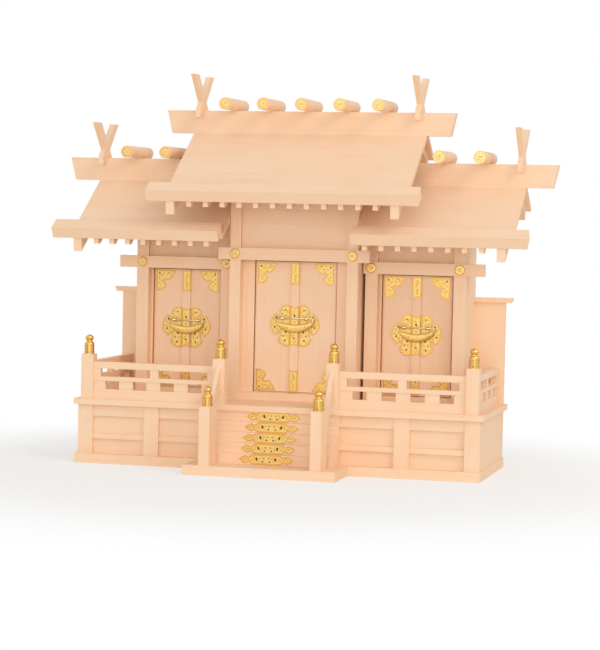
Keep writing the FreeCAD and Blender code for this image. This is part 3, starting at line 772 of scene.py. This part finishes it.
# runs a tree over points and keeps the result as a plain mesh
def growMesh(name, points, tree, values, body):
    mesh = bpy.data.meshes.new(name)
    mesh.from_pydata(points, [], [])
    source = bpy.data.objects.new(name + ".source", mesh)
    bpy.context.scene.collection.objects.link(source)
    modifier = source.modifiers.new("grow", "NODES")
    modifier.node_group = tree
    named = {item.name: item.identifier for item in tree.interface.items_tree if item.in_out == "INPUT"}
    for key, value in values.items():
        modifier[named[key]] = value
    graph = bpy.context.evaluated_depsgraph_get()
    result = bpy.data.meshes.new_from_object(source.evaluated_get(graph), depsgraph=graph)
    source.modifiers.remove(modifier)
    bpy.data.objects.remove(source)
    obj = bpy.data.objects.new(name, result)
    bpy.context.scene.collection.objects.link(obj)
    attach(obj, body)


def discSpots():
    bosses = [(x * side, y, z) for x, y, z in flowers["bosses"] for side in (-1, 1)]
    pitch, mainHigh = flowers["mainLogs"]
    spots, wingHigh = flowers["wingLogs"]
    logs = [(pitch * i, mainHigh) for i in range(-2, 3)]
    logs += [(side * x, wingHigh) for x in spots for side in (-1, 1)]
    caps = [(x, y, z) for x, z in logs for y in flowers["logEnds"]]
    return bosses, caps


def addFlowers():
    tree = petalTree()
    bosses, caps = discSpots()
    sets = (("bossFlowers", bosses, flowers["bossR"]), ("logFlowers", caps, flowers["capR"]))
    for name, spots, radius in sets:
        points = [Vector(spot) * mm for spot in spots]
        # the flowers take the near-white brass, partly a painted highlight on the bosses and log caps
        values = {"Petal Count": flowers["petals"], "Disc Radius": radius * flowers["share"] * mm,
                  "Material": burnishedAndHighlightBrass}
        growMesh(name, points, tree, values, "shrine")


addFlowers()
print("flowers stamped on bosses and log ends")


# raised curls of vine on the fields of the plates, sizes in mm
curls = {
    "seed": 7,
    "inner": 0.35,           # radius where a curl starts
    "outer": 1.5,            # and where it ends
    "turns": 1.4,
    "wire": 0.17,
    "smallest": 0.75,
    "largest": 1.15,
    "steps": 14,             # to a turn
    "wireSides": 6,
}


def curlTree():
    tree = bpy.data.node_groups.new("vineCurls", "GeometryNodeTree")
    sockets = (("Geometry", "NodeSocketGeometry"), ("Inner Radius", "NodeSocketFloat"),
               ("Outer Radius", "NodeSocketFloat"), ("Turns", "NodeSocketFloat"),
               ("Wire Radius", "NodeSocketFloat"), ("Seed", "NodeSocketInt"),
               ("Material", "NodeSocketMaterial"))
    for name, kind in sockets:
        tree.interface.new_socket(name=name, in_out="INPUT", socket_type=kind)
    tree.interface.new_socket(name="Geometry", in_out="OUTPUT", socket_type="NodeSocketGeometry")
    given = addNode(tree, "NodeGroupInput").outputs
    spiral = addNode(tree, "GeometryNodeCurveSpiral", inputs={
        "Resolution": curls["steps"], "Rotations": given["Turns"], "Start Radius": given["Inner Radius"],
        "End Radius": given["Outer Radius"], "Height": 0.0})
    wire = addNode(tree, "GeometryNodeCurvePrimitiveCircle",
                   inputs={"Resolution": curls["wireSides"], "Radius": given["Wire Radius"]})
    curl = addNode(tree, "GeometryNodeCurveToMesh", inputs={
        "Curve": spiral.outputs[0], "Profile Curve": wire.outputs[0], "Fill Caps": True})
    upright = addNode(tree, "GeometryNodeTransform",
                      inputs={"Geometry": curl.outputs[0], "Rotation": (math.pi / 2, 0, 0)})
    turn = addNode(tree, "FunctionNodeRandomValue", {"data_type": "FLOAT_VECTOR"}, {
        0: (0, 0, 0), 1: (0, 2 * math.pi, 0), 8: given["Seed"]})
    size = addNode(tree, "FunctionNodeRandomValue", {"data_type": "FLOAT"}, {
        2: curls["smallest"], 3: curls["largest"], 8: given["Seed"]})
    spots = addNode(tree, "GeometryNodeInstanceOnPoints", inputs={
        "Points": given["Geometry"], "Instance": upright.outputs[0], "Rotation": turn.outputs[0],
        "Scale": size.outputs[1]})
    real = addNode(tree, "GeometryNodeRealizeInstances", inputs={0: spots.outputs[0]})
    painted = addNode(tree, "GeometryNodeSetMaterial",
                      inputs={"Geometry": real.outputs[0], "Material": given["Material"]})
    addNode(tree, "NodeGroupOutput", inputs={0: painted.outputs[0]})
    return tree


def addAllCurls():
    tree = curlTree()
    values = {"Inner Radius": curls["inner"] * mm, "Outer Radius": curls["outer"] * mm,
              "Turns": curls["turns"], "Wire Radius": curls["wire"] * mm, "Seed": curls["seed"],
              "Material": smoothBrass}
    for body, spots in curlSpots.items():
        growMesh(body + ".vineCurls", spots, tree, values, body)


addAllCurls()


# a column of punch marks on four sides of every finial
finialMarks = {
    "spots": ((212.5, 6.8, 118.6), (62.6, 3.7, 118.6), (60.2, -51.5, 72.2)),  # and their mirror images
    "radius": 5.3,
    "heights": ((2.0, 1.0), (4.6, 0.7), (6.6, 0.55), (8.6, 0.7)),  # of a mark, and its half width
    "squash": 0.8,
    "depths": (-0.25, 0.12),  # inner and outer end, from the finial's side
    "ring": 8,
}


def addFinialMarks():
    bm = bmesh.new()
    for x, y, z in finialMarks["spots"]:
        for side in (-1, 1):
            for quarter in range(4):
                a = quarter * math.pi / 2
                out = Vector((math.sin(a), -math.cos(a), 0))
                across = Vector((math.cos(a), math.sin(a), 0))
                for height, size in finialMarks["heights"]:
                    centre = Vector((side * x, y, z + height))
                    up = Vector((0, 0, size * finialMarks["squash"]))
                    ends = [centre + out * (finialMarks["radius"] + depth) for depth in finialMarks["depths"]]
                    sections = [(end * mm, across * size * mm, up * mm) for end in ends]
                    addTube(bm, sections, finialMarks["ring"])
    addPiece("finialPunchMarks", bm, "shrine", [blackLacquer])


addFinialMarks()
print("finials marked")
